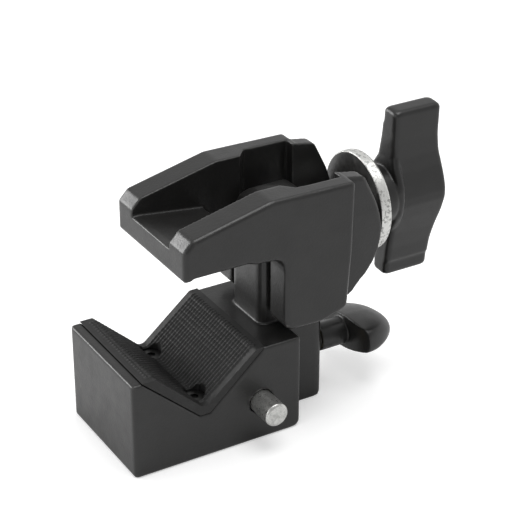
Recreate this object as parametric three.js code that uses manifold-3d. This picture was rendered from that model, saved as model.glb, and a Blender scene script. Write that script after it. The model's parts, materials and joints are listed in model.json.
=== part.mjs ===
// Super clamp: a cast two-jaw clamp for tubes, with a hexagonal socket for a lighting stud.
// Millimetres. +Z is up, +X runs back to the knobs, +Y runs along the gripped tube.
// The origin is on the underside's mid-line, in the middle of the flat land that rests on the
// stud's shoulder, just ahead of the stud socket. Inside the clamp group, X is counted from the
// block's front face, so the whole group is shifted by the land's distance from that face.
import * as THREE from "three";
import { mergeVertices } from "three/addons/utils/BufferGeometryUtils.js";
import Module from "manifold-3d";

const wasm = await Module();
wasm.setup();

// ---- driving dimensions ----
const GAP = 0.3; // clearance between pieces that rest on each other
const CUT = 5; // how far a cutting tool runs past the surface it opens
const FAR = 100; // an outline's reach where another shape limits the body
const CURVE_STEPS = 4;
const WIDTH = 45.2; // of both jaws, along the tube

const BLOCK = {
  length: 61.5, height: 34.2, chamfer: 0.6, edge: 1, foot: 3, frontRound: 1.7, rearRound: 1.3,
};
const VEE = { x: 25.6, z: 16, flat: 1.8, slope: THREE.MathUtils.degToRad(42) };
const LINER = { floor: 3.2, frontSkin: 5.1, rearSkin: 3.1, proud: 0.4, holes: [-15, 15] };
const LINER_SCREW = { head: 3.6, headHeight: 1.6, seat: 1.2, shank: 1.95, depth: 6, drive: 1.6 };
const COLUMN = {
  front: 53.8, rear: 78.2, width: 20, top: 76.5, frontRound: 3.5, rearRound: 3, noseRound: 13.4,
  crownRound: 10.4, topRound: 7,
};
const SOCKET = { x: 56.3, flats: 16, depth: 28 };
const POCKET = { front: 5, rear: 40, width: 34, depth: 8, round: 4 };
const ORIGIN_X = (POCKET.rear + SOCKET.x - SOCKET.flats / 2) / 2;

const PIVOT = { x: 67.5, z: 46.5, radius: 3.5, near: -18.4, far: 21.2, bore: 3.65 };
const SPACER = { nearRadius: 8, farRadius: 10, thickness: 2 };
const SPRING_BAY = { radius: 8.4, depth: 5.5 };
const JAW_SPRING = { radius: 6, wire: 0.55, turns: 2.5, stepsPerTurn: 16 };

// The upper jaw's side outline as [X, Z, corner radius]: lip, floor, legs, rear, top.
const CHEEK = [
  [19.1, 65.3, 1.2], [21.8, 65.3], [22.6, 65.9], [42, 65.9, 2], [45, 64.9, 3],
  [55.5, 64.4, 5.5], [55.5, 37.6, 4], [70, 37.3, 6], [79.4, 40.2, 2.6],
  [80.9, 60, 8], [81.5, 85, 1.6], [50.5, 85.6, 8], [22.4, 79.1, 2.4], [19.1, 75.6, 2],
];
const JAW = { inner: 25.2, front: 19.1, frontRound: 1.7, top: 85.6, chamfer: 0.9 };
const JAW_FLOOR = { front: 21.6, frontTop: 73.3, rear: 45, rearTop: 70.3 };
const JAW_POCKET = { front: 59, slant: 3.6, rear: 79.3, width: 33, bottom: 58 };
const PAD = { front: 23.3, rear: 43.2, width: 33.4, bottom: 65.6, top: 67.2, round: 0.4 };
const CAM = { face: 95.3, lift: 15, outer: 18.2, steps: 12, low: -0.8, high: 0.45, chamfer: 0.9 };
const CAM_DRAFT = [[15.6, 38], [18.2, 70], [18.2, 90]]; // the outer face as [Y, Z], leaning in at the foot
// The cam's root, inside the cheek, and its crown above the working edge, as [X, Z, corner radius].
const CAM_ROOT = [[74, 39.2], [84.4, 40, 2]];
const CAM_CROWN = [[87.9, 83.5, 3.2], [79, 85], [74, 80]];

const HANDLE_Z = 65.2; // height of the handle screw's axis
const SCREW = { radius: 5, end: 59, bore: 5.15, clearance: 5.6, chamfer: 0.8 };
const INSERT = { front: 64, radius: 6.8, inset: 3.7 };
const PLATE = {
  radius: 17.4, front: 95.5, rear: 99.5, edge: 0.6, bore: 5.25, recess: 1.7, recessRadius: 8.2,
};
const RING = { radius: 7.7, front: 95.8, rear: 96.9 };
const WASHER = { radius: 9, front: 99.8, rear: 100.6 };
const HANDLE = {
  hub: 100.9, front: 107.4, belly: 106.2, rear: 126.4, waist: 125.6, bulge: 130.4, half: 31.2,
  endHalf: 4.8, webHalf: 3.4,
};
const HANDLE_HUB = { radius: 10, neck: 7.6, floor: 3.7 };
const HANDLE_REST = 2.5; // degrees that the handle stands turned at rest
const CROSS_PIN = { x: 104, radius: 1.4, half: 8.6 };

const LOCK_Z = 16.4; // height of the stud lock screw's axis
const LOCK_SCREW = { front: 69.3, radius: 4, bore: 4.15 };
const LOCK_INSERT = { front: 71, radius: 6.8, inset: 0.2 };
const LOCK_TIP = { front: 64.6, rear: 69, radius: 3.2, bore: 3.5 };
const WING = {
  hub: 81.6, front: 92, side: 100.6, rear: 107.8, span: 35, middle: 11, tip: 6, hubRadius: 4.9,
};
const WING_REST = -9; // degrees that the lock knob stands turned at rest

const SAFETY = { x: 46.6, z: 14.2, radius: 4.1, edge: 0.7, out: -32.6, bore: 4.4 };
const COLLAR = { radius: 5.4, near: 4.8, far: 6.3, bore: 5.7 };
const SAFETY_SPRING = { radius: 4.3, wire: 0.5, turns: 4, stepsPerTurn: 14 };
const NOTCH = { near: -12.6, far: -0.3, depth: 47.6 };
const PLUG = { near: 18, far: 21.6, key: 2.2, keyDepth: 2 };

// ---- helpers ----
function toSolid(geometry) {
  const plain = geometry.clone();
  plain.deleteAttribute("normal");
  plain.deleteAttribute("uv");
  const merged = mergeVertices(plain, 1e-4);
  const vertProperties = new Float32Array(merged.attributes.position.array);
  const triVerts = new Uint32Array(merged.index.array);
  return new wasm.Manifold(new wasm.Mesh({ numProp: 3, vertProperties, triVerts }));
}

function toGeometry(body) {
  const { vertProperties, triVerts } = body.getMesh();
  const geometry = new THREE.BufferGeometry();
  geometry.setAttribute("position", new THREE.BufferAttribute(new Float32Array(vertProperties), 3));
  geometry.setIndex(new THREE.BufferAttribute(new Uint32Array(triVerts), 1));
  geometry.computeVertexNormals();
  return geometry;
}

// A closed outline through corners [u, v, radius]; a corner without a radius stays sharp.
function outline(corners) {
  const shape = new THREE.Shape();
  corners.forEach(([u, v, radius = 0], i) => {
    const corner = new THREE.Vector2(u, v);
    const back = new THREE.Vector2(...corners.at(i - 1).slice(0, 2)).sub(corner);
    const ahead = new THREE.Vector2(...corners[(i + 1) % corners.length].slice(0, 2)).sub(corner);
    const reach = radius / Math.tan(back.angleTo(ahead) / 2);
    const start = back.setLength(reach).add(corner);
    const end = ahead.setLength(reach).add(corner);
    if (i === 0) shape.moveTo(start.x, start.y);
    else shape.lineTo(start.x, start.y);
    if (radius > 0) shape.quadraticCurveTo(u, v, end.x, end.y);
  });
  shape.closePath();
  return shape;
}

function box(u0, u1, v0, v1, radius) {
  return outline([[u0, v0, radius], [u1, v0, radius], [u1, v1, radius], [u0, v1, radius]]);
}

function hexagon(x, flats) {
  const corners = Array.from({ length: 6 }, (_, i) => {
    const angle = ((i + 0.5) * Math.PI) / 3;
    const reach = flats / Math.sqrt(3);
    return [x + reach * Math.cos(angle), reach * Math.sin(angle)];
  });
  return outline(corners);
}

function extruded(shape, length, chamfer) {
  return new THREE.ExtrudeGeometry(shape, {
    depth: length - 2 * chamfer,
    curveSegments: CURVE_STEPS,
    bevelEnabled: chamfer > 0,
    bevelSegments: 1,
    bevelThickness: chamfer,
    bevelSize: chamfer,
    bevelOffset: -chamfer,
  }).translate(0, 0, chamfer);
}

// An outline in (Y, Z), run along X from front to rear.
function alongX(shape, front, rear) {
  const turn = new THREE.Matrix4().makeBasis(
    new THREE.Vector3(0, 1, 0),
    new THREE.Vector3(0, 0, 1),
    new THREE.Vector3(1, 0, 0),
  );
  return toSolid(extruded(shape, rear - front, 0).applyMatrix4(turn).translate(front, 0, 0));
}

// A side outline in (X, Z), run along Y between two places.
function alongY(shape, a, b, chamfer = 0) {
  const [near, far] = [Math.min(a, b), Math.max(a, b)];
  return toSolid(extruded(shape, far - near, chamfer).rotateX(Math.PI / 2).translate(0, far, 0));
}

// A plan outline in (X, Y), run along Z from low to high.
function alongZ(shape, low, high, chamfer = 0) {
  return toSolid(extruded(shape, high - low, chamfer).translate(0, 0, low));
}

// A round bar; axis is "x", "y" or "z", and the other two coordinates of its axis follow in order.
function bar(axis, from, to, radius, a, b, sides = 24) {
  const middle = (from + to) / 2;
  const geometry = new THREE.CylinderGeometry(radius, radius, Math.abs(to - from), sides);
  if (axis === "x") geometry.rotateZ(Math.PI / 2).translate(middle, a, b);
  if (axis === "y") geometry.translate(a, middle, b);
  if (axis === "z") geometry.rotateX(Math.PI / 2).translate(a, b, middle);
  return toSolid(geometry);
}

// A body of revolution about the X axis at height z, from a profile of [x, radius] points.
function turnedX(profile, z, sides = 32) {
  const points = profile.map(([x, radius]) => new THREE.Vector2(radius, x));
  return new THREE.LatheGeometry(points, sides).rotateZ(-Math.PI / 2).translate(0, 0, z);
}

function ringX({ front, rear, radius }, bore, z) {
  return turnedX([[front, bore], [front, radius], [rear, radius], [rear, bore], [front, bore]], z);
}

// A wire coil whose axis is Y, centred at (x, z), lying between y0 and y1.
function coil(x, z, y0, y1, { radius, wire, turns, stepsPerTurn }) {
  class Helix extends THREE.Curve {
    getPoint(t, target = new THREE.Vector3()) {
      const angle = 2 * Math.PI * turns * t;
      return target.set(
        x + radius * Math.cos(angle),
        THREE.MathUtils.lerp(y0 + wire, y1 - wire, t),
        z + radius * Math.sin(angle),
      );
    }
  }
  const section = new THREE.Shape().absarc(0, 0, wire, 0, 2 * Math.PI);
  return new THREE.ExtrudeGeometry(section, {
    steps: turns * stepsPerTurn,
    curveSegments: 3,
    extrudePath: new Helix(),
  });
}

function part(name, body, { color, roughness, metalness = 0 }) {
  const geometry = body.isBufferGeometry ? body : toGeometry(body);
  const mesh = new THREE.Mesh(geometry, new THREE.MeshStandardMaterial({ color, roughness, metalness }));
  mesh.name = name;
  return mesh;
}

const PAINT = { color: 0x3b3a38, roughness: 0.55 };
const INSERT_PLASTIC = { color: 0x232323, roughness: 0.85 };
const KNOB_PLASTIC = { color: 0x2b2b2b, roughness: 0.4 };
const STEEL = { color: 0xc4c7c2, roughness: 0.3, metalness: 0.9 };
const BLACK_STEEL = { color: 0x2a2a2c, roughness: 0.4, metalness: 0.7 };
const BRASS = { color: 0xb8913f, roughness: 0.35, metalness: 0.9 };

// ---- lower jaw: block, V seat and column in one casting ----
const half = WIDTH / 2;
const veeRun = (z) => VEE.flat + (z - VEE.z) / Math.tan(VEE.slope);

function block() {
  const { length, height, edge, foot, chamfer, frontRound, rearRound } = BLOCK;
  const run = veeRun(height);
  const side = outline([
    [0, 0, edge],
    [length, 0, foot],
    [length, height, edge],
    [VEE.x + run, height],
    [VEE.x + VEE.flat, VEE.z, edge],
    [VEE.x - VEE.flat, VEE.z, edge],
    [VEE.x - run, height],
    [0, height, edge],
  ]);
  const plan = outline([
    [0, -half, frontRound],
    [length, -half, rearRound],
    [length, half, rearRound],
    [0, half, frontRound],
  ]);
  return alongY(side, -half, half, chamfer).intersect(alongZ(plan, -CUT, height + CUT));
}

function column() {
  const { front, rear, width, top, frontRound, rearRound, noseRound, crownRound, topRound } = COLUMN;
  const side = width / 2;
  const plan = outline([
    [front, -side, frontRound],
    [rear, -side, rearRound],
    [rear, side, rearRound],
    [front, side, frontRound],
  ]);
  const profile = outline([
    [front, 0],
    [rear, 0, rearRound],
    [rear, top, crownRound],
    [front, top, noseRound],
  ]);
  const wide = side + 1;
  const across = outline([[-wide, 0], [wide, 0], [wide, top, topRound], [-wide, top, topRound]]);
  return alongZ(plan, 0, top)
    .intersect(alongY(profile, -side - CUT, side + CUT))
    .intersect(alongX(across, front - CUT, rear + CUT));
}

function linerHoles(radius, low, high) {
  return LINER.holes.map((y) => bar("z", low, high, radius, VEE.x, y, 16));
}

function lowerJaw() {
  const side = COLUMN.width / 2;
  const rear = COLUMN.rear + CUT;
  const head = LINER_SCREW.head + GAP;
  const pocket = box(POCKET.front, POCKET.rear, -POCKET.width / 2, POCKET.width / 2, POCKET.round);
  const cutters = [
    alongZ(hexagon(SOCKET.x, SOCKET.flats), -CUT, SOCKET.depth),
    alongZ(pocket, -CUT, POCKET.depth),
    bar("y", -half - CUT, COLLAR.near + CUT, SAFETY.bore, SAFETY.x, SAFETY.z),
    bar("y", COLLAR.near - GAP, half + CUT, COLLAR.bore, SAFETY.x, SAFETY.z),
    bar("y", -half, half, PIVOT.bore, PIVOT.x, PIVOT.z),
    bar("y", side - SPRING_BAY.depth, half, SPRING_BAY.radius, PIVOT.x, PIVOT.z),
    bar("x", COLUMN.front - CUT, rear, SCREW.clearance, 0, HANDLE_Z),
    bar("x", INSERT.front, rear, INSERT.radius + GAP, 0, HANDLE_Z),
    bar("x", SOCKET.x, rear, LOCK_TIP.bore, 0, LOCK_Z),
    bar("x", LOCK_TIP.front, rear, LOCK_INSERT.radius + GAP, 0, LOCK_Z),
    ...linerHoles(LINER_SCREW.shank + GAP, VEE.z - LINER_SCREW.depth - GAP, VEE.z + CUT),
    ...linerHoles(head, VEE.z + LINER_SCREW.seat, VEE.z + CUT),
  ];
  return cutters.reduce((body, cutter) => body.subtract(cutter), block().add(column()));
}

// ---- V liner and its screws ----
function liner() {
  const top = BLOCK.height + LINER.proud;
  const rest = VEE.z + GAP / 2;
  const valley = VEE.z + LINER.floor;
  const run = veeRun(top) - GAP;
  const shape = outline([
    [VEE.x - run, top],
    [VEE.x - VEE.flat, rest],
    [VEE.x + VEE.flat, rest],
    [VEE.x + run, top],
    [VEE.x + run - LINER.rearSkin, top],
    [VEE.x + 1, valley, 1],
    [VEE.x - 1, valley, 1],
    [VEE.x - run + LINER.frontSkin, top],
  ]);
  const holes = [
    ...linerHoles(LINER_SCREW.head + GAP, VEE.z + LINER_SCREW.seat, top),
    ...linerHoles(LINER_SCREW.shank + GAP, VEE.z - CUT, top),
  ];
  return holes.reduce((body, hole) => body.subtract(hole), alongY(shape, GAP / 2 - half, half - GAP / 2));
}

function linerScrew(y) {
  const { head, headHeight, shank, depth, drive } = LINER_SCREW;
  const seat = VEE.z + LINER_SCREW.seat + GAP / 2;
  const top = seat + headHeight;
  return bar("z", seat, top, head, VEE.x, y, 20)
    .add(bar("z", VEE.z - depth, seat + headHeight / 2, shank, VEE.x, y, 16))
    .subtract(bar("z", seat + headHeight / 2, top + CUT, drive, VEE.x, y, 6));
}

// ---- upper jaw: a channel with legs at the pivot and cams at the rear ----
// The cam edge pushes on a flat plate, so it is the involute of a circle of radius "lift":
// each radian that the jaw turns moves the plate by "lift".
function camPoint(angle) {
  const support = CAM.face - PIVOT.x + CAM.lift * angle;
  return [
    PIVOT.x + support * Math.cos(angle) - CAM.lift * Math.sin(angle),
    PIVOT.z + support * Math.sin(angle) + CAM.lift * Math.cos(angle),
  ];
}

function camSides() {
  const near = CAM_DRAFT.map(([y, z]) => [-y, z]).reverse();
  return alongX(outline([...CAM_DRAFT, ...near]), 0, FAR + CUT);
}

function camOutline() {
  const edge = Array.from({ length: CAM.steps + 1 }, (_, i) =>
    camPoint(THREE.MathUtils.lerp(CAM.low, CAM.high, i / CAM.steps)));
  return outline([...CAM_ROOT, ...edge, ...CAM_CROWN]);
}

function jawChannel() {
  const low = -FAR;
  const open = JAW.front - CUT;
  const hollow = outline([
    [open, JAW_FLOOR.frontTop],
    [JAW_FLOOR.front, JAW_FLOOR.frontTop],
    [JAW_FLOOR.rear, JAW_FLOOR.rearTop],
    [JAW_FLOOR.rear, low],
    [FAR, low],
    [FAR, FAR],
    [open, FAR],
  ]);
  return alongY(hollow, -JAW.inner / 2, JAW.inner / 2);
}

function upperJaw() {
  const inner = JAW.inner / 2;
  const { front, frontRound } = JAW;
  const plan = outline([[front, -half, frontRound], [FAR, -half], [FAR, half], [front, half, frontRound]]);
  const reach = JAW_POCKET.width / 2;
  const slant = JAW_POCKET.front + JAW_POCKET.slant;
  const pocket = outline([
    [JAW_POCKET.front, -inner],
    [slant, -reach],
    [JAW_POCKET.rear, -reach],
    [JAW_POCKET.rear, reach],
    [slant, reach],
    [JAW_POCKET.front, inner],
  ]);
  const recess = box(PAD.front - GAP, PAD.rear + GAP, PAD.bottom - CUT, PAD.top + GAP / 2);
  let body = alongY(outline(CHEEK), -half, half, JAW.chamfer).intersect(alongZ(plan, 0, FAR));
  for (const side of [-1, 1]) {
    const cam = alongY(camOutline(), side * (inner - 1), side * CAM.outer, CAM.chamfer);
    body = body.add(cam.intersect(camSides()));
  }
  return body.subtract(jawChannel())
    .subtract(alongZ(pocket, JAW_POCKET.bottom, JAW.top + CUT))
    .subtract(alongY(recess, -PAD.width / 2 - GAP, PAD.width / 2 + GAP))
    .subtract(bar("y", PIVOT.near - GAP, half + CUT, PIVOT.bore, PIVOT.x, PIVOT.z));
}

function upperJawPad() {
  return alongY(box(PAD.front, PAD.rear, PAD.bottom, PAD.top, PAD.round), -PAD.width / 2, PAD.width / 2);
}

// ---- pivot ----
function pivotPin() {
  return bar("y", PIVOT.near, PIVOT.far, PIVOT.radius, PIVOT.x, PIVOT.z);
}

function pivotSpacer(side, radius) {
  const start = side * (COLUMN.width / 2 + GAP);
  return bar("y", start, start + side * SPACER.thickness, radius, PIVOT.x, PIVOT.z, 32)
    .subtract(bar("y", -half, half, PIVOT.bore, PIVOT.x, PIVOT.z));
}

function jawSpring() {
  const side = COLUMN.width / 2;
  return coil(PIVOT.x, PIVOT.z, side - SPRING_BAY.depth + GAP, side - GAP, JAW_SPRING);
}

// ---- handle screw, plate and T-handle ----
function pressurePlate() {
  const { front, rear, edge, radius, bore, recess, recessRadius } = PLATE;
  return turnedX([
    [front + recess, bore],
    [front + recess, recessRadius],
    [front, recessRadius],
    [front, radius - edge],
    [front + edge, radius],
    [rear - edge, radius],
    [rear, radius - edge],
    [rear, bore],
    [front + recess, bore],
  ], HANDLE_Z, 48);
}

function crossPin(clearance) {
  const reach = CROSS_PIN.half + 2 * clearance;
  const radius = CROSS_PIN.radius + clearance / 2;
  return bar("z", HANDLE_Z - reach, HANDLE_Z + reach, radius, CROSS_PIN.x, 0, 12);
}

function handleScrew() {
  const rear = HANDLE.rear - HANDLE_HUB.floor - GAP;
  const shaft = toSolid(turnedX([
    [SCREW.end, 0],
    [SCREW.end, SCREW.radius - SCREW.chamfer],
    [SCREW.end + SCREW.chamfer, SCREW.radius],
    [rear, SCREW.radius],
    [rear, 0],
  ], HANDLE_Z, 24));
  return shaft.subtract(crossPin(GAP));
}

// The paddle's side view, in (X, Z) about the screw axis: square ends and a full middle.
function paddleSide() {
  const { front, belly, rear, waist, bulge, half: reach } = HANDLE;
  return outline([
    [front, -reach, 3],
    [rear, -reach, 3],
    [waist, -22, 8],
    [bulge, -2, 9],
    [bulge, 2, 9],
    [waist, 22, 8],
    [rear, reach, 3],
    [front, reach, 3],
    [front, 22, 8],
    [belly, 9, 3],
    [belly, -9, 3],
    [front, -22, 8],
  ]);
}

// The paddle seen along the screw, in (Y, Z): thick ends and a thin web.
function paddleThickness() {
  const { half: reach, endHalf, webHalf } = HANDLE;
  const nearSide = [
    [endHalf, -reach - 1],
    [endHalf, -24, 6],
    [webHalf, -9, 6],
    [webHalf, 9, 6],
    [endHalf, 24, 6],
    [endHalf, reach + 1],
  ];
  const farSide = nearSide.map(([y, z, radius]) => [-y, z, radius]).reverse();
  return outline([...nearSide, ...farSide]);
}

function tHandle() {
  const { hub: start, front, belly, rear, bulge, endHalf } = HANDLE;
  const { radius, neck, floor } = HANDLE_HUB;
  const paddle = alongY(paddleSide(), -endHalf, endHalf, 0.8)
    .intersect(alongX(paddleThickness(), belly - CUT, bulge + CUT))
    .rotate([HANDLE_REST, 0, 0])
    .translate([0, 0, HANDLE_Z]);
  const hub = toSolid(turnedX([
    [start, 0],
    [start, radius],
    [front, radius],
    [front + 4, neck],
    [bulge - 5, neck],
    [bulge - 1, neck / 2],
    [bulge - 1, 0],
  ], HANDLE_Z, 32));
  const bore = bar("x", start - CUT, rear - floor, SCREW.bore, 0, HANDLE_Z);
  return paddle.add(hub).subtract(bore).subtract(crossPin(GAP));
}

// ---- stud lock knob: a D-shaped wing on a short boss ----
function lockKnob() {
  const { hub, front, side, rear, span, middle, tip, hubRadius } = WING;
  const reach = span / 2;
  const socket = front + CUT + GAP;
  const plan = outline([
    [front, -reach, 3],
    [side, -reach, 4.5],
    [rear, -reach / 3, 6],
    [rear, reach / 3, 6],
    [side, reach, 4.5],
    [front, reach, 3],
  ]);
  const thickness = outline([
    [-reach - 1, -tip / 2],
    [-5, -middle / 2, 8],
    [5, -middle / 2, 8],
    [reach + 1, -tip / 2],
    [reach + 1, tip / 2],
    [5, middle / 2, 8],
    [-5, middle / 2, 8],
    [-reach - 1, tip / 2],
  ]);
  const wing = alongZ(plan, -middle, middle).intersect(alongX(thickness, front - CUT, rear + CUT));
  const boss = toSolid(turnedX([
    [hub, 0],
    [hub, hubRadius - 0.6],
    [hub + 0.6, hubRadius],
    [socket, hubRadius],
    [socket + 2, 0],
  ], LOCK_Z, 28));
  return wing.rotate([WING_REST, 0, 0])
    .translate([0, 0, LOCK_Z])
    .add(boss)
    .subtract(bar("x", hub - CUT, socket, LOCK_SCREW.bore, 0, LOCK_Z));
}

// ---- safety pin ----
function safetyPin() {
  const { x, z, radius, edge, out } = SAFETY;
  const profile = [
    [0, out],
    [radius - edge, out],
    [radius, out + edge],
    [radius, COLLAR.near],
    [COLLAR.radius, COLLAR.near],
    [COLLAR.radius, COLLAR.far],
    [0, COLLAR.far],
  ].map(([r, y]) => new THREE.Vector2(r, y));
  const pin = toSolid(new THREE.LatheGeometry(profile, 28).translate(x, 0, z));
  const notch = box(NOTCH.depth, x + CUT, z - CUT, z + CUT);
  return pin.subtract(alongY(notch, NOTCH.near, NOTCH.far));
}

function safetySpring() {
  return coil(SAFETY.x, SAFETY.z, COLLAR.far + GAP, PLUG.near - GAP, SAFETY_SPRING);
}

function safetyPlug() {
  return bar("y", PLUG.near, PLUG.far, COLLAR.bore - GAP / 2, SAFETY.x, SAFETY.z, 28)
    .subtract(bar("y", PLUG.far - PLUG.keyDepth, PLUG.far + CUT, PLUG.key, SAFETY.x, SAFETY.z, 6));
}

// ---- assembly ----
const threadInsert = (insert, bore, z) => ringX({ ...insert, rear: COLUMN.rear - insert.inset }, bore, z);
const lockScrewRear = WING.front + CUT;

const clamp = new THREE.Group();
clamp.add(
  part("lower_jaw", lowerJaw(), PAINT),
  part("lower_jaw_liner", liner(), INSERT_PLASTIC),
  part("liner_screw_near", linerScrew(LINER.holes[0]), BLACK_STEEL),
  part("liner_screw_far", linerScrew(LINER.holes[1]), BLACK_STEEL),
  part("upper_jaw", upperJaw(), PAINT),
  part("upper_jaw_pad", upperJawPad(), INSERT_PLASTIC),
  part("jaw_pivot_pin", pivotPin(), STEEL),
  part("pivot_spacer_near", pivotSpacer(-1, SPACER.nearRadius), INSERT_PLASTIC),
  part("pivot_spacer_far", pivotSpacer(1, SPACER.farRadius), INSERT_PLASTIC),
  part("jaw_return_spring", jawSpring(), STEEL),
  part("handle_insert", threadInsert(INSERT, SCREW.bore, HANDLE_Z), BRASS),
  part("handle_screw", handleScrew(), STEEL),
  part("plate_ring", ringX(RING, SCREW.bore, HANDLE_Z), STEEL),
  part("pressure_plate", pressurePlate(), STEEL),
  part("thrust_washer", ringX(WASHER, SCREW.bore, HANDLE_Z), STEEL),
  part("t_handle", tHandle(), KNOB_PLASTIC),
  part("handle_cross_pin", crossPin(0), STEEL),
  part("lock_insert", threadInsert(LOCK_INSERT, LOCK_SCREW.bore, LOCK_Z), BRASS),
  part("lock_screw", bar("x", LOCK_SCREW.front, lockScrewRear, LOCK_SCREW.radius, 0, LOCK_Z), BLACK_STEEL),
  part("lock_tip", bar("x", LOCK_TIP.front, LOCK_TIP.rear, LOCK_TIP.radius, 0, LOCK_Z, 20), BRASS),
  part("lock_knob", lockKnob(), KNOB_PLASTIC),
  part("safety_pin", safetyPin(), STEEL),
  part("safety_pin_spring", safetySpring(), STEEL),
  part("safety_pin_plug", safetyPlug(), BLACK_STEEL),
);
clamp.position.x = -ORIGIN_X;

const group = new THREE.Group();
group.add(clamp);

export default group;
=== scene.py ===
"""Looks for the super clamp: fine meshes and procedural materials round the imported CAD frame.

Lengths are millimetres in the row frame until a mesh is made, which turns them into metres.
"""
import json
import math

import bmesh
import bpy
import numpy as np
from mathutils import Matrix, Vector


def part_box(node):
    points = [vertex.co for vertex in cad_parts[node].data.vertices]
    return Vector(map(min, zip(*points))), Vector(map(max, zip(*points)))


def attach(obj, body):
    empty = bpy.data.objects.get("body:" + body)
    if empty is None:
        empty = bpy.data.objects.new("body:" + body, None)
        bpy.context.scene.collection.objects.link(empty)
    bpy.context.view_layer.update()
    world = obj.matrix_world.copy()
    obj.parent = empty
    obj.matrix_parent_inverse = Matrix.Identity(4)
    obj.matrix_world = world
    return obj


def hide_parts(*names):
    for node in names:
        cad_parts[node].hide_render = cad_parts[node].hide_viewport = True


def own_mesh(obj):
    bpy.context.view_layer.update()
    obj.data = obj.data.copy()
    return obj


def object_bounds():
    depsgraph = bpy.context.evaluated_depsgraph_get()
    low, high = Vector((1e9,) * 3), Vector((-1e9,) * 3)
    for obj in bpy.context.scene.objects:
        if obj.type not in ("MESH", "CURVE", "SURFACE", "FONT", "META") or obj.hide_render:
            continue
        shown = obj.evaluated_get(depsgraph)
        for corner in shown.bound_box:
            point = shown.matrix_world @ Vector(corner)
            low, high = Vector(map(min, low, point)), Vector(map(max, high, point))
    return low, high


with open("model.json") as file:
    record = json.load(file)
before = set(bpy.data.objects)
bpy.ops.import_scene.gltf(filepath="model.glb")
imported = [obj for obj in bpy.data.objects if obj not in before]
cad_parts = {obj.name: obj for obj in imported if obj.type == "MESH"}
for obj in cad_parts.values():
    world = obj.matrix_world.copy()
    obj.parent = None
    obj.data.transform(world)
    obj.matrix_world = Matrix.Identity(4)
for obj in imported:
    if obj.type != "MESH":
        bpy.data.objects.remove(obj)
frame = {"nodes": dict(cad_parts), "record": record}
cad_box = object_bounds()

MM = 0.001

RECORD = frame["record"]
BODY_OF = {node: body for body, nodes in RECORD["behaviour"]["bodies"].items() for node in nodes}


# ---- places from the frame ----
def span(node):
    """Lowest and highest corner of a CAD node."""
    low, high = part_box(node)
    return np.array(low) / MM, np.array(high) / MM


def middle(node):
    low, high = span(node)
    return (low + high) / 2


HANDLE_AXIS = (0.0, float(middle("pressure_plate")[2]))  # the handle screw's axis, as (y, z)
LOCK_AXIS = (0.0, float(middle("lock_screw")[2]))
PIVOT_AXIS = (float(middle("jaw_pivot_pin")[0]), float(middle("jaw_pivot_pin")[2]))  # as (x, z)
SAFETY_AXIS = (float(middle("safety_pin_plug")[0]), float(middle("safety_pin_plug")[2]))


# ---- mesh helpers ----
def mesh_object(name, points, faces):
    mesh = bpy.data.meshes.new(name)
    mesh.from_pydata((np.asarray(points, float) * MM).tolist(), [], faces)
    repair = bmesh.new()
    repair.from_mesh(mesh)
    bmesh.ops.recalc_face_normals(repair, faces=repair.faces)
    repair.to_mesh(mesh)
    repair.free()
    made = bpy.data.objects.new(name, mesh)
    bpy.context.scene.collection.objects.link(made)
    return made


def baked(source, name, modifiers):
    """A new object from source's mesh after the modifiers, each (type, settings). The source is removed."""
    for kind, settings in modifiers:
        modifier = source.modifiers.new(kind.lower(), kind)
        for key, value in settings.items():
            setattr(modifier, key, value)
    evaluated = source.evaluated_get(bpy.context.evaluated_depsgraph_get())
    mesh = bpy.data.meshes.new_from_object(evaluated)
    bpy.data.objects.remove(source)
    mesh.name = name
    made = bpy.data.objects.new(name, mesh)
    bpy.context.scene.collection.objects.link(made)
    return made


def joined(objects):
    """One object that holds all the meshes."""
    merged = bmesh.new()
    for source in objects:
        merged.from_mesh(source.data)
    mesh = bpy.data.meshes.new("joined")
    merged.to_mesh(mesh)
    merged.free()
    for source in objects:
        bpy.data.objects.remove(source)
    made = bpy.data.objects.new("joined", mesh)
    bpy.context.scene.collection.objects.link(made)
    return made


def copied(node):
    """A free copy of a CAD node's mesh."""
    made = bpy.data.objects.new("copy_" + node, frame["nodes"][node].data.copy())
    made.data.materials.clear()
    bpy.context.scene.collection.objects.link(made)
    return made


def cast(source, name, voxel, rounds):
    """Melts the source into one even skin and rounds its edges, as a casting or a moulding has them."""
    return baked(source, name, [
        ("REMESH", {"mode": "VOXEL", "voxel_size": voxel * MM, "use_smooth_shade": True}),
        ("SMOOTH", {"factor": 0.5, "iterations": rounds}),
    ])


def cut(target, tools):
    """The target with every tool's body taken away."""
    name = target.name
    for tool in tools:
        target.name = "uncut"
        boolean = {"operation": "DIFFERENCE", "object": tool, "solver": "EXACT"}
        target = baked(target, name, [("BOOLEAN", boolean)])
        bpy.data.objects.remove(tool)
    return target


def dress(piece, node, *materials, sharp=None):
    """Gives the piece its materials and its place in the frame. Edges above the sharp angle stay crisp."""
    piece.data.materials.clear()
    for material in materials:
        piece.data.materials.append(material)
    piece.data.shade_smooth()
    if sharp is not None:
        piece.data.set_sharp_from_angle(angle=math.radians(sharp))
    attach(piece, BODY_OF[node])
    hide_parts(node)
    return piece


def softened(profile, radius, closed=False):
    """The profile with each corner turned into a short arc."""
    points = [np.array(p, float) for p in profile]
    count = len(points)
    out = []
    for i, corner in enumerate(points):
        if not closed and i in (0, count - 1):
            out.append(corner)
            continue
        back, ahead = points[i - 1] - corner, points[(i + 1) % count] - corner
        reach = min(radius, 0.45 * np.linalg.norm(back), 0.45 * np.linalg.norm(ahead))
        start = corner + back / np.linalg.norm(back) * reach
        end = corner + ahead / np.linalg.norm(ahead) * reach
        for t in (0.0, 0.25, 0.5, 0.75, 1.0):
            out.append((1 - t) ** 2 * start + 2 * t * (1 - t) * corner + t * t * end)
    return out


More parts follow.
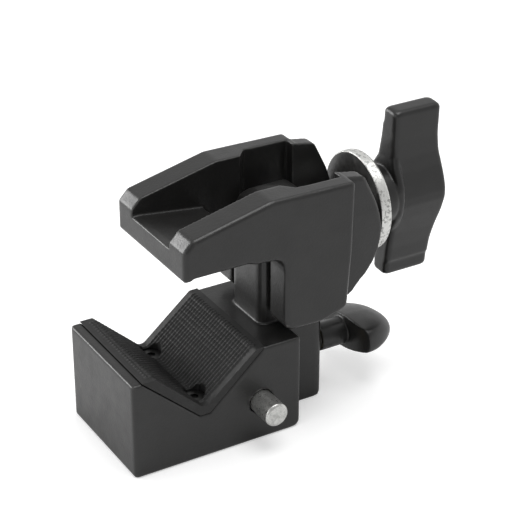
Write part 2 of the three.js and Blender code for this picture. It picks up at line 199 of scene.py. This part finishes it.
def lathe(name, axis, centre, profile, closed=False, segments=96):
    """A body of revolution from (place along the axis, radius) points. A ring's profile is closed."""
    points, faces, rings = [], [], []
    for along, radius in profile:
        ring = []
        for k in range(segments if radius > 1e-6 else 1):
            angle = 2 * math.pi * k / segments
            a = centre[0] + radius * math.cos(angle)
            b = centre[1] + radius * math.sin(angle)
            ring.append(len(points))
            points.append({"x": (along, a, b), "y": (a, along, b), "z": (a, b, along)}[axis])
        rings.append(ring)
    for first, second in zip(rings, rings[1:] + (rings[:1] if closed else [])):
        for k in range(segments):
            quad = [first[k % len(first)], first[(k + 1) % len(first)],
                    second[(k + 1) % len(second)], second[k % len(second)]]
            face = list(dict.fromkeys(quad))
            if len(face) > 2:
                faces.append(face)
    return mesh_object(name, points, faces)


def turned(name, axis, centre, ends, radius, edge=0.3, segments=96):
    """A plain round bar with eased ends."""
    low, high = ends
    return lathe(name, axis, centre,
                 softened([(low, 0), (low, radius), (high, radius), (high, 0)], edge), segments=segments)


def ring(name, axis, centre, ends, radius, bore, edge=0.25, segments=96):
    low, high = ends
    profile = softened([(low, bore), (low, radius), (high, radius), (high, bore)], edge, closed=True)
    return lathe(name, axis, centre, profile, closed=True, segments=segments)


def skin(name, rows, closed_rows=True, caps=True):
    """A mesh over a grid of points: rows joined in order, each row a loop, and the two ends capped."""
    count = len(rows[0])
    points = np.concatenate([np.asarray(row, float) for row in rows])
    faces = []
    for i in range(len(rows) - 1):
        for k in range(count if closed_rows else count - 1):
            a, b = i * count + k, i * count + (k + 1) % count
            faces.append([a, b, b + count, a + count])
    if caps:
        faces.append(list(range(count)))
        faces.append([(len(rows) - 1) * count + k for k in range(count)])
    return mesh_object(name, points, faces)


def threaded(name, centre, low, high, radius, pitch, depth, thread, segments=48):
    """A bar along X with a thread between the two places given as thread."""
    steps = int(round((high - low) / (pitch / 8)))
    angles = np.linspace(0, 2 * math.pi, segments, endpoint=False)
    rows = []
    for x in np.linspace(low, high, steps + 1):
        phase = (x / pitch - angles / (2 * math.pi)) % 1.0
        groove = np.clip(2.4 * np.abs(phase - 0.5) - 0.1, 0, 1)
        fade = np.clip(min(x - thread[0], thread[1] - x) / pitch, 0, 1)
        chamfer = max(0.0, 0.9 - (x - low), 0.9 - (high - x))
        r = np.minimum(radius - depth * fade * groove, radius - chamfer)
        rows.append(np.stack([np.full(segments, x), centre[0] + r * np.cos(angles),
                              centre[1] + r * np.sin(angles)], axis=1))
    return skin(name, rows)


def coil(name, centre, low, high, radius, wire, turns, per_turn=56, around=14):
    """A coil of round wire whose axis runs along Y."""
    rows = []
    for t in np.linspace(0, 1, int(turns * per_turn) + 1):
        angle = 2 * math.pi * turns * t
        out = np.array([math.cos(angle), 0, math.sin(angle)])
        start = np.array([centre[0], low + wire + (high - low - 2 * wire) * t, centre[1]]) + radius * out
        bend = np.linspace(0, 2 * math.pi, around, endpoint=False)[:, None]
        rows.append(start + wire * (np.cos(bend) * out + np.sin(bend) * np.array([0, 1, 0])))
    return skin(name, rows)


# ---- materials ----
class Graph:
    """One material's shader nodes. Sizes are in millimetres on the object."""

    def __init__(self, name):
        self.material = bpy.data.materials.new(name)
        self.material.use_nodes = True
        self.tree = self.material.node_tree
        self.shader = self.tree.nodes["Principled BSDF"]
        self.place = self.add("ShaderNodeTexCoord").outputs["Object"]
        self.geometry = self.add("ShaderNodeNewGeometry")

    def add(self, kind, **settings):
        made = self.tree.nodes.new(kind)
        for key, value in settings.items():
            setattr(made, key, value)
        return made

    def feed(self, socket, value):
        if isinstance(value, bpy.types.NodeSocket):
            self.tree.links.new(value, socket)
        else:
            socket.default_value = value

    def set(self, **values):
        for key, value in values.items():
            self.feed(self.shader.inputs[key.replace("_", " ")], value)

    def stretched(self, x, y, z):
        made = self.add("ShaderNodeMapping")
        self.feed(made.inputs["Vector"], self.place)
        made.inputs["Scale"].default_value = (x, y, z)
        return made.outputs["Vector"]

    def noise(self, size, detail=2.0, place=None):
        made = self.add("ShaderNodeTexNoise")
        self.feed(made.inputs["Vector"], place or self.place)
        made.inputs["Scale"].default_value = 1 / (size * MM)
        made.inputs["Detail"].default_value = detail
        return made.outputs["Fac"]

    def cells(self, size):
        made = self.add("ShaderNodeTexVoronoi")
        self.feed(made.inputs["Vector"], self.place)
        made.inputs["Scale"].default_value = 1 / (size * MM)
        return made.outputs["Distance"]

    def span(self, value, source, target):
        made = self.add("ShaderNodeMapRange")
        self.feed(made.inputs["Value"], value)
        for key, number in zip(("From Min", "From Max", "To Min", "To Max"), (*source, *target)):
            made.inputs[key].default_value = number
        return made.outputs["Result"]

    def maths(self, operation, a, b):
        made = self.add("ShaderNodeMath", operation=operation)
        self.feed(made.inputs[0], a)
        self.feed(made.inputs[1], b)
        return made.outputs[0]

    def blend(self, share, a, b):
        made = self.add("ShaderNodeMix", data_type="RGBA")
        self.feed(made.inputs["Factor"], share)
        self.feed(made.inputs["A"], a)
        self.feed(made.inputs["B"], b)
        return made.outputs["Result"]

    def bump(self, height, depth, strength=1.0):
        made = self.add("ShaderNodeBump")
        made.inputs["Distance"].default_value = depth * MM
        made.inputs["Strength"].default_value = strength
        self.feed(made.inputs["Height"], height)
        if self.shader.inputs["Normal"].links:
            self.feed(made.inputs["Normal"], self.shader.inputs["Normal"].links[0].from_socket)
        self.feed(self.shader.inputs["Normal"], made.outputs["Normal"])

    def edges(self, low=0.515, high=0.57):
        """1 along outer edges and 0 elsewhere: partly wear where handling rubs a surface, partly a painted
        highlight along the rounded edges.
        """
        wear_and_highlight = self.span(self.geometry.outputs["Pointiness"], (low, high), (0, 1))
        patchy = self.span(self.noise(2.5, 3), (0.35, 0.65), (0.25, 1))
        return self.maths("MULTIPLY", wear_and_highlight, patchy)


def shade(value, tint=(1.0, 0.985, 0.955)):
    return (value * tint[0], value * tint[1], value * tint[2], 1.0)


def powder_coat(name):
    """Satin black powder coat over a casting: fine orange peel, dull patches, and edges lightened partly as
    rubbed wear and partly as a painted highlight.
    """
    g = Graph(name)
    cloudy = g.noise(9, 3)
    speck = g.noise(0.22, 2)
    base = g.blend(g.span(cloudy, (0.3, 0.7), (0, 1)), shade(0.010), shade(0.014))
    base = g.blend(g.span(speck, (0.6, 0.8), (0, 0.35)), base, shade(0.03))
    # Edges lightened towards shade(0.07): part wear, part painted highlight standing in for the sheen on
    # rounded edges.
    g.set(Base_Color=g.blend(g.edges(), base, shade(0.07)))
    g.set(Roughness=g.span(g.noise(5, 4), (0.3, 0.7), (0.28, 0.39)))
    g.bump(g.noise(0.55, 3), 0.035)
    g.bump(g.cells(0.9), 0.02)
    return g.material


def moulded_plastic(name, value, roughness, grain):
    """Moulded black plastic: even colour, a faint skin texture, and edges lightened partly as polish and
    partly as a painted highlight.
    """
    g = Graph(name)
    base = g.blend(g.span(g.noise(7, 2), (0.3, 0.7), (0, 1)), shade(value * 0.92), shade(value * 1.08))
    # Edges lightened towards twice the base colour: part polish, part painted highlight.
    g.set(Base_Color=g.blend(g.maths("MULTIPLY", g.edges(), 0.5), base, shade(value * 2.0)))
    g.set(Roughness=g.span(g.noise(3, 4), (0.3, 0.7), (roughness - 0.05, roughness + 0.06)))
    g.bump(g.noise(grain, 3), 0.02)
    return g.material


def metal(name, value, roughness, stretch, tint=(1.0, 1.0, 0.97), blotch=0.0, scratch=0.02):
    """Machined metal: fine tool lines along one direction, small scratches and dull spots."""
    g = Graph(name)
    lines = g.noise(0.16, 3, g.stretched(*stretch))
    marks = g.noise(1.1, 5)
    dull = g.span(marks, (0.52, 0.62), (0, blotch))
    base = g.blend(g.span(lines, (0.3, 0.7), (0, 1)), shade(value * 0.82, tint), shade(value, tint))
    g.set(Base_Color=g.blend(dull, base, shade(value * 0.3, tint)), Metallic=0.92)
    g.set(Roughness=g.span(marks, (0.3, 0.7), (roughness * 0.8, roughness * 1.3)))
    g.bump(lines, scratch)
    g.bump(g.noise(0.5, 4), scratch * 0.8)
    return g.material


ALONG_X = (0.06, 1.0, 1.0)
ROUND_X = (1.0, 0.12, 0.12)
ROUND_Y = (0.12, 1.0, 0.12)

COAT = powder_coat("black_powder_coat")
LINER_PLASTIC = moulded_plastic("liner_plastic", 0.008, 0.60, 0.3)
KNOB_PLASTIC = moulded_plastic("knob_plastic", 0.011, 0.34, 0.8)
RIM_METAL = metal("scratched_rim", 0.80, 0.36, ROUND_X, blotch=0.75, scratch=0.05)
PIN_METAL = metal("turned_pin_steel", 0.68, 0.30, ROUND_Y, blotch=0.35, scratch=0.03)
STEEL = metal("zinc_steel", 0.62, 0.32, ROUND_X, blotch=0.2)
BLACK_STEEL = metal("black_oxide_steel", 0.055, 0.36, ALONG_X, blotch=0.2)
BRASS = metal("machined_brass", 0.72, 0.30, ROUND_X, tint=(1.0, 0.77, 0.36), blotch=0.2)
PLATE_BLACK = powder_coat("plate_black")


# ---- castings ----
def castings():
    dress(cast(copied("lower_jaw"), "lower_jaw_casting", 0.36, 5), "lower_jaw", COAT)
    dress(cast(copied("upper_jaw"), "upper_jaw_casting", 0.36, 5), "upper_jaw", COAT)


# ---- ribbed liner and pad ----
RIB_PITCH = 1.5
TOOTH_PITCH = 1.7
TOOTH_HEIGHT = 0.5


def teeth(along, across, length, width, margin):
    """Height of the moulded teeth at a place on a ribbed face; a plain border is left round it."""
    rib = 0.5 + 0.5 * np.cos(2 * math.pi * across / RIB_PITCH)
    notch = np.clip(np.cos(2 * math.pi * along / TOOTH_PITCH) * 2 - 1.0, 0, 1)
    edge = np.minimum(np.minimum(along, length - along), width / 2 - np.abs(across))
    border = np.clip((edge - margin) / 0.5, 0, 1)
    return TOOTH_HEIGHT * border * rib ** 0.8 * (1 - 0.55 * notch)


def sampled(path, step):
    """Evenly spaced points along a polyline, their distance along it, and their normals in (x, z)."""
    path = np.array(path, float)
    run = np.concatenate([[0], np.cumsum(np.linalg.norm(np.diff(path, axis=0), axis=1))])
    along = np.linspace(0, run[-1], int(run[-1] / step) + 1)
    points = np.stack([np.interp(along, run, path[:, k]) for k in (0, 1)], axis=1)
    tangent = np.gradient(points, axis=0)
    tangent /= np.linalg.norm(tangent, axis=1)[:, None]
    return points, along, np.stack([-tangent[:, 1], tangent[:, 0]], axis=1)


def ribbed_sheet(name, face, back, width, margin, step=0.25):
    """A sheet along Y whose face, a polyline in (x, z), carries teeth, and whose back is plain."""
    points, along, normals = sampled(face, step)
    back_path = np.array(back, float)
    run = np.concatenate([[0], np.cumsum(np.linalg.norm(np.diff(back_path, axis=0), axis=1))])
    share = along / along[-1] * run[-1]
    behind = np.stack([np.interp(share, run, back_path[:, k]) for k in (0, 1)], axis=1)
    rows = []
    for y in np.linspace(-width / 2, width / 2, int(width / step) + 1):
        height = teeth(along, y, along[-1], width, margin)
        front = points + normals * height[:, None]
        section = np.concatenate([front, behind[::-1]])
        rows.append(np.stack([section[:, 0], np.full(len(section), y), section[:, 1]], axis=1))
    return skin(name, rows)


def liner():
    low, high = span("lower_jaw_liner")
    width = high[1] - low[1]
    left, right, top, bottom = low[0], high[0], high[2], low[2]
    centre = middle("liner_screw_near")[0]
    flat, floor, front_skin, rear_skin = 1.8, 3.2, 5.1, 3.1
    inner = softened([
        (left + front_skin, top), (centre - 1, bottom + floor), (centre + 1, bottom + floor),
        (right - rear_skin, top)], 3.0)
    face = [(left, top), (left + front_skin - 0.4, top), *inner[1:-1], (right - rear_skin, top), (right, top)]
    outer = [(left, top - 0.01), (centre - flat, bottom), (centre + flat, bottom), (right, top - 0.01)]
    sheet = ribbed_sheet("v_liner", softened(face, 0.5), outer, width, 2.2)
    tools = []
    for node in ("liner_screw_near", "liner_screw_far"):
        screw = span(node)
        head = (screw[1][0] - screw[0][0]) / 2 + 0.25
        ends = (screw[1][2] - 2, screw[1][2] + 20)
        tools.append(turned("tool", "z", tuple(middle(node)[:2]), ends, head, segments=48))
    dress(cut(sheet, tools), "lower_jaw_liner", LINER_PLASTIC, sharp=50)


def liner_screw(node):
    low, high = span(node)
    centre = tuple(middle(node)[:2])
    head, head_height, shank, key = (high[0] - low[0]) / 2, 1.6, 1.9, 1.6
    seat = high[2] - head_height
    profile = softened([(low[2], 0), (low[2], shank), (seat, shank), (seat, head), (high[2], head),
                        (high[2], 0)], 0.35)
    body = lathe(node.replace("liner_screw", "liner_cap_screw"), "z", centre, profile, segments=64)
    socket = lathe("tool", "z", centre, [(seat + 0.8, 0), (seat + 0.8, key), (high[2] + 1, key),
                                         (high[2] + 1, 0)], segments=6)
    dress(cut(body, [socket]), node, BLACK_STEEL, sharp=35)


def jaw_pad():
    low, high = span("upper_jaw_pad")
    width = high[1] - low[1]
    base = low[2] + TOOTH_HEIGHT
    face = softened([(high[0], high[2]), (high[0], base), (low[0], base), (low[0], high[2])], 0.4)
    back = [(high[0], high[2] + 0.01), (low[0], high[2] + 0.01)]
    pad = ribbed_sheet("upper_jaw_grip_pad", face, back, width, 2.4)
    dress(pad, "upper_jaw_pad", LINER_PLASTIC, sharp=50)


# ---- pivot ----
def pivot():
    low, high = span("jaw_pivot_pin")
    radius = (high[0] - low[0]) / 2
    pin = turned("hinge_pin", "y", PIVOT_AXIS, (low[1], high[1]), radius, 0.4)
    dress(pin, "jaw_pivot_pin", PIN_METAL, sharp=40)
    for node in ("pivot_spacer_near", "pivot_spacer_far"):
        low, high = span(node)
        washer = ring(node.replace("pivot", "hinge"), "y", PIVOT_AXIS, (low[1], high[1]),
                      (high[0] - low[0]) / 2, radius + 0.15)
        dress(washer, node, LINER_PLASTIC, sharp=40)
    low, high = span("jaw_return_spring")
    wire, turns = 0.55, 2.5
    spring = coil("hinge_spring", PIVOT_AXIS, low[1], high[1], (high[2] - low[2]) / 2 - wire, wire, turns)
    dress(spring, "jaw_return_spring", STEEL, sharp=60)


# ---- handle screw, plate and washers ----
def handle_train():
    low, high = span("handle_screw")
    radius = (high[1] - low[1]) / 2
    plate_low, plate_high = span("pressure_plate")
    screw = threaded("threaded_handle_screw", HANDLE_AXIS, low[0], high[0], radius, 1.5, 0.75,
                     (low[0], plate_low[0] + 1))
    dress(screw, "handle_screw", STEEL, sharp=50)
    bore = radius + 0.2
    low, high = span("handle_insert")
    dress(ring("screw_insert", "x", HANDLE_AXIS, (low[0], high[0]), (high[1] - low[1]) / 2, bore),
          "handle_insert", BRASS, sharp=40)
    low, high = span("plate_ring")
    dress(ring("retaining_ring", "x", HANDLE_AXIS, (low[0], high[0]), (high[1] - low[1]) / 2, bore),
          "plate_ring", STEEL, sharp=40)
    low, high = span("thrust_washer")
    dress(ring("brake_washer", "x", HANDLE_AXIS, (low[0], high[0]), (high[1] - low[1]) / 2, bore),
          "thrust_washer", STEEL, sharp=40)
    low, high = span("handle_cross_pin")
    centre = middle("handle_cross_pin")
    radius = (high[0] - low[0]) / 2
    cross_pin = turned("cross_pin", "z", (centre[0], centre[1]), (low[2], high[2]), radius, 0.3, 48)
    dress(cross_pin, "handle_cross_pin", STEEL, sharp=40)
    plate(plate_low, plate_high)


def plate(low, high):
    """The pressure plate: black faces and a bright turned rim with fine tool grooves."""
    radius = (high[1] - low[1]) / 2
    front, rear, recess, recess_radius, bore, edge = low[0], high[0], 1.7, 8.2, 5.25, 0.55
    rim = []
    for x in np.linspace(front + edge, rear - edge, 25):
        rim.append((x, radius - 0.03 * (1 - math.cos(2 * math.pi * (x - front) / 0.46))))
    profile = [
        (front + recess, bore), (front + recess, recess_radius), (front + 0.2, recess_radius),
        (front, recess_radius + 0.2), (front, radius - edge), (front + 0.16, radius - edge + 0.33),
        *rim,
        (rear - 0.16, radius - edge + 0.33), (rear, radius - edge), (rear, bore)]
    body = lathe("clamp_pressure_plate", "x", HANDLE_AXIS, profile, closed=True, segments=192)
    body.data.update()
    dress(body, "pressure_plate", PLATE_BLACK, RIM_METAL, sharp=35)
    for face in body.data.polygons:
        centre = np.array(face.center) / MM
        reach = math.hypot(centre[1] - HANDLE_AXIS[0], centre[2] - HANDLE_AXIS[1])
        face.material_index = 1 if reach > radius - edge else 0


# ---- T-handle ----
def rounded_section(x0, x1, y0, y1, radius, count=10):
    """Corner arcs of a rounded rectangle in (x, y), as one loop."""
    radius = min(radius, 0.48 * (x1 - x0), 0.48 * (y1 - y0))
    loop = []
    corners = ((x1 - radius, y1 - radius, 0), (x0 + radius, y1 - radius, 90),
               (x0 + radius, y0 + radius, 180), (x1 - radius, y0 + radius, 270))
    for cx, cy, start in corners:
        for angle in np.radians(np.linspace(start, start + 90, count)):
            loop.append((cx + radius * math.cos(angle), cy + radius * math.sin(angle)))
    return np.array(loop)


def eased(t, stops, values, blur):
    """Values between the stops, with the corners of their polyline blurred."""
    offsets = np.linspace(-2.5, 2.5, 41)
    weights = np.exp(-0.5 * offsets ** 2)
    return float(np.sum(weights * np.interp(t + offsets * blur, stops, values)) / np.sum(weights))


def turned_about(x, y, z, axis_height, degrees):
    """Points turned about an axis along X."""
    angle = math.radians(degrees)
    return np.stack([x, y * math.cos(angle) - z * math.sin(angle),
                     axis_height + y * math.sin(angle) + z * math.cos(angle)], axis=1)


HANDLE_REST = 2.6
HANDLE_REACH = 31.2


def paddle_side(t):
    """Half thickness of the near side at a height above the axis: plain ends and a crest over the screw."""
    return eased(t, [-31, -25.8, -25.2, -20, -14, -8, -3, 0, 4, 9, 14, 20, 31],
                 [3.6, 3.7, 4.2, 4.6, 5.5, 6.8, 7.7, 7.5, 6.6, 5.4, 4.6, 4.2, 4.0], 0.35)


def paddle(front, rear, crown):
    end_round = 1.7
    rows = []
    ends = np.linspace(0, 2.2, 14)
    for t in np.concatenate([ends - HANDLE_REACH, np.linspace(2.7 - HANDLE_REACH, HANDLE_REACH - 2.7, 120),
                             HANDLE_REACH - ends[::-1]]):
        x1 = eased(t, [-31, -20, -14, -8.6, -3, 2, 8.6, 13.6, 20, 31],
                   [rear - 0.7, rear - 0.2, rear + 0.9, rear + 2.1, crown, crown, rear + 1.8, rear + 0.6,
                    rear, rear + 0.1], 1.6)
        inset = max(0.0, abs(t) - (HANDLE_REACH - end_round))
        shrink = end_round - math.sqrt(max(0.0, end_round ** 2 - inset ** 2))
        near, far = paddle_side(t), paddle_side(-t)
        section = rounded_section(front + shrink, x1 - shrink, shrink - near, far - shrink, 1.8)
        rows.append(turned_about(section[:, 0], section[:, 1], np.full(len(section), t), HANDLE_AXIS[1],
                                 HANDLE_REST))
    return skin("paddle", rows)


def brow(front):
    """The flare on the paddle's front edge, where it grows out of the collar."""
    rows = []
    for t in np.linspace(-23, 23, 60):
        side = eased(abs(t), [0, 5, 9, 12, 16, 20], [9.8, 9.3, 7.4, 5.6, 4.0, 2.8], 0.8)
        start = eased(abs(t), [0, 11, 18, 24], [front - 0.6, front - 0.6, front + 0.9, front + 0.9], 0.8)
        section = rounded_section(start, front + 2.6, -side, side, 1.4)
        rows.append(turned_about(section[:, 0], section[:, 1], np.full(len(section), t), HANDLE_AXIS[1],
                                 HANDLE_REST))
    return skin("brow", rows)


def t_handle():
    low, high = span("t_handle")
    front, rear, crown = low[0] + 7.0, low[0] + 25.5, high[0] - 1.3
    collar_profile = softened([(low[0], 0), (low[0], 10.0), (front - 0.8, 10.0), (front + 3, 7.4),
                               (front + 8, 6.4), (front + 8, 0)], 0.8)
    collar = lathe("collar", "x", HANDLE_AXIS, collar_profile)
    parts = [paddle(front, rear, crown), brow(front), collar]
    dress(cast(joined(parts), "t_handle_moulding", 0.34, 5), "t_handle", KNOB_PLASTIC)


# ---- stud lock ----
LOCK_REST = -9


def wing(front, rear, reach):
    """The lock knob's D-shaped wing: a sharp front edge, a domed back and thin rounded tips."""
    rows = []
    for u in np.sin(np.linspace(-math.pi / 2, math.pi / 2, 100)) * 0.9995:
        depth = (rear - front) * (1 - abs(u) ** 2.7) ** 0.55 + 0.3
        start = front + 1.2 * abs(u) ** 6
        thick = eased(u * reach, [-18, -9, -3, 3, 9, 18], [3.6, 5.5, 6.3, 6.3, 5.5, 3.6], 1.5)
        height = thick * (1 - abs(u) ** 24) ** 0.5 + 0.01
        v = np.sin(np.linspace(0, math.pi / 2, 30))
        edge = height * (1 - v ** 3.2) ** 0.5
        x = start + v * max(0.05, depth - (start - front))
        upper, lower = np.stack([x, edge], axis=1), np.stack([x[::-1], -edge[::-1]], axis=1)[1:]
        section = np.concatenate([upper, lower])
        across = np.full(len(section), u * reach)
        rows.append(turned_about(section[:, 0], across, section[:, 1], LOCK_AXIS[1], LOCK_REST))
    return skin("wing", rows)


def lock_wing():
    low, high = span("lock_knob")
    front, neck = low[0] + 10.4, 4.9
    end = front + 6
    profile = softened([(low[0], 0), (low[0], neck), (front + 3, neck), (end, 2.4), (end, 0)], 0.6)
    parts = [wing(front, high[0], 16.7), lathe("neck", "x", LOCK_AXIS, profile)]
    dress(cast(joined(parts), "lock_knob_moulding", 0.28, 3), "lock_knob", KNOB_PLASTIC)


def stud_lock():
    lock_wing()
    low, high = span("lock_screw")
    radius = (high[1] - low[1]) / 2
    insert_low, insert_high = span("lock_insert")
    screw = threaded("threaded_lock_screw", LOCK_AXIS, low[0], high[0], radius, 1.5, 0.7,
                     (low[0], insert_high[0] + 4))
    dress(screw, "lock_screw", BLACK_STEEL, sharp=50)
    dress(ring("lock_screw_insert", "x", LOCK_AXIS, (insert_low[0], insert_high[0]),
               (insert_high[1] - insert_low[1]) / 2, radius + 0.15), "lock_insert", BRASS, sharp=40)
    low, high = span("lock_tip")
    dress(turned("lock_screw_tip", "x", LOCK_AXIS, (low[0], high[0]), (high[1] - low[1]) / 2, 0.8, 64),
          "lock_tip", BRASS, sharp=40)


# ---- sprung safety pin ----
def sprung_pin():
    low, high = span("safety_pin")
    radius, collar, collar_length, edge = 4.1, 5.4, 1.5, 0.7
    profile = softened([(low[1], 0), (low[1], radius - edge), (low[1] + edge, radius),
                        (high[1] - collar_length, radius), (high[1] - collar_length, collar),
                        (high[1], collar), (high[1], 0)], 0.25)
    pin = lathe("sprung_stud_pin", "y", SAFETY_AXIS, profile)
    notch_step, (y0, y1) = 1.0, (-12.6, -0.3)
    x0, x1 = SAFETY_AXIS[0] + notch_step, SAFETY_AXIS[0] + 6
    z0, z1 = SAFETY_AXIS[1] - 6, SAFETY_AXIS[1] + 6
    rows = [[(x, y0, z0), (x, y1, z0), (x, y1, z1), (x, y0, z1)] for x in (x0, x1)]
    dress(cut(pin, [skin("tool", rows)]), "safety_pin", PIN_METAL, sharp=35)
    low, high = span("safety_pin_spring")
    wire, turns = 0.5, 4
    spring = coil("pin_spring", SAFETY_AXIS, low[1], high[1], (high[2] - low[2]) / 2 - wire, wire, turns)
    dress(spring, "safety_pin_spring", STEEL, sharp=60)
    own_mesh(spring)
    low, high = span("safety_pin_plug")
    plug = turned("pin_plug", "y", SAFETY_AXIS, (low[1], high[1]), (high[0] - low[0]) / 2, 0.4)
    key, key_depth = 2.2, 2.0
    socket = lathe("tool", "y", SAFETY_AXIS, [(high[1] - key_depth, 0), (high[1] - key_depth, key),
                                              (high[1] + 1, key), (high[1] + 1, 0)], segments=6)
    dress(cut(plug, [socket]), "safety_pin_plug", BLACK_STEEL, sharp=35)


# ---- surroundings ----
CAMERA_TARGET = Vector((0.0132, 0.0, 0.0551))
CAMERA_DISTANCE = 0.572
CAMERA_AZIMUTH = math.radians(30.59)
CAMERA_ELEVATION = math.radians(28.04)
CAMERA_LENS = 123.1


def camera():
    data = bpy.data.cameras.new("camera")
    data.lens = CAMERA_LENS
    data.clip_start, data.clip_end = 0.05, 20
    made = bpy.data.objects.new("camera", data)
    bpy.context.scene.collection.objects.link(made)
    back = Vector((
        -math.sin(CAMERA_AZIMUTH) * math.cos(CAMERA_ELEVATION),
        -math.cos(CAMERA_AZIMUTH) * math.cos(CAMERA_ELEVATION),
        math.sin(CAMERA_ELEVATION)))
    made.location = CAMERA_TARGET + back * CAMERA_DISTANCE
    made.rotation_euler = (-back).to_track_quat("-Z", "Y").to_euler()
    bpy.context.scene.camera = made


def area_light(name, place, target, size, power):
    data = bpy.data.lights.new(name, "AREA")
    data.shape = "DISK"
    data.size, data.energy = size, power
    made = bpy.data.objects.new(name, data)
    bpy.context.scene.collection.objects.link(made)
    made.location = place
    made.rotation_euler = (Vector(target) - Vector(place)).to_track_quat("-Z", "Y").to_euler()


def sky():
    """White for the camera. The object sees a bright horizon, dimmer above and on the camera's side."""
    world = bpy.data.worlds.new("studio")
    world.use_nodes = True
    tree = world.node_tree
    background = tree.nodes["Background"]
    direction = tree.nodes.new("ShaderNodeTexCoord")
    split = tree.nodes.new("ShaderNodeSeparateXYZ")
    tree.links.new(direction.outputs["Generated"], split.inputs["Vector"])
    ramp = tree.nodes.new("ShaderNodeValToRGB")
    height = tree.nodes.new("ShaderNodeMapRange")
    height.inputs["From Min"].default_value = -1
    tree.links.new(split.outputs["Z"], height.inputs["Value"])
    tree.links.new(height.outputs["Result"], ramp.inputs["Fac"])
    stops = [(0.0, 0.4), (0.48, 0.5), (0.52, 0.95), (0.66, 0.7), (0.8, 0.55), (1.0, 0.5)]
    while len(ramp.color_ramp.elements) < len(stops):
        ramp.color_ramp.elements.new(0.5)
    for element, (place, value) in zip(ramp.color_ramp.elements, stops):
        element.position = place
        element.color = (value, value, value, 1)
    facing = tree.nodes.new("ShaderNodeVectorMath")
    facing.operation = "DOT_PRODUCT"
    facing.inputs[1].default_value = (-0.3, -0.95, 0)
    tree.links.new(direction.outputs["Generated"], facing.inputs[0])
    dark = tree.nodes.new("ShaderNodeMapRange")
    dark.inputs["From Min"].default_value = 0.1
    dark.inputs["From Max"].default_value = 0.9
    dark.inputs["To Min"].default_value = 1.15
    dark.inputs["To Max"].default_value = 0.6
    tree.links.new(facing.outputs["Value"], dark.inputs["Value"])
    dimmed = tree.nodes.new("ShaderNodeVectorMath")
    dimmed.operation = "SCALE"
    tree.links.new(ramp.outputs["Color"], dimmed.inputs[0])
    tree.links.new(dark.outputs["Result"], dimmed.inputs["Scale"])
    light = tree.nodes.new("ShaderNodeLightPath")
    mix = tree.nodes.new("ShaderNodeMix")
    mix.data_type = "RGBA"
    tree.links.new(light.outputs["Is Camera Ray"], mix.inputs["Factor"])
    tree.links.new(dimmed.outputs["Vector"], mix.inputs["A"])
    mix.inputs["B"].default_value = (1, 1, 1, 1)
    tree.links.new(mix.outputs["Result"], background.inputs["Color"])
    bpy.context.scene.world = world


def pale_floor():
    """A pale floor with a faint glow that only the camera sees, so that it reads as white."""
    g = Graph("pale_floor")
    output = g.tree.nodes["Material Output"]
    g.set(Base_Color=g.blend(g.noise(60, 2), shade(0.80, (1, 1, 1)), shade(0.84, (1, 1, 1))), Roughness=0.9)
    shown = g.add("ShaderNodeAddShader")
    glow = g.add("ShaderNodeEmission")
    glow.inputs["Strength"].default_value = 0.35
    g.feed(shown.inputs[0], g.shader.outputs["BSDF"])
    g.feed(shown.inputs[1], glow.outputs["Emission"])
    light = g.add("ShaderNodeLightPath")
    mix = g.add("ShaderNodeMixShader")
    g.feed(mix.inputs["Fac"], light.outputs["Is Camera Ray"])
    g.feed(mix.inputs[1], g.shader.outputs["BSDF"])
    g.feed(mix.inputs[2], shown.outputs["Shader"])
    g.feed(output.inputs["Surface"], mix.outputs["Shader"])
    return g.material


def surroundings():
    sky()
    target = (0.01, 0, 0.045)
    area_light("key", (-0.55, 0.75, 0.30), target, 0.5, 5.0)
    area_light("side", (-0.85, -0.25, 0.40), target, 0.4, 1.0)
    area_light("top", (0.1, -0.1, 0.9), target, 0.7, 4.5)
    low = cad_box[0][2] / MM - 0.05
    half = 4000
    corners = [(-half, -half, low), (half, -half, low), (half, half, low), (-half, half, low)]
    floor = mesh_object("floor", corners, [[0, 1, 2, 3]])
    floor.data.materials.append(pale_floor())
    bpy.context.scene.view_settings.view_transform = "Standard"


castings()
liner()
liner_screw("liner_screw_near")
liner_screw("liner_screw_far")
jaw_pad()
pivot()
handle_train()
t_handle()
stud_lock()
sprung_pin()
camera()
surroundings()
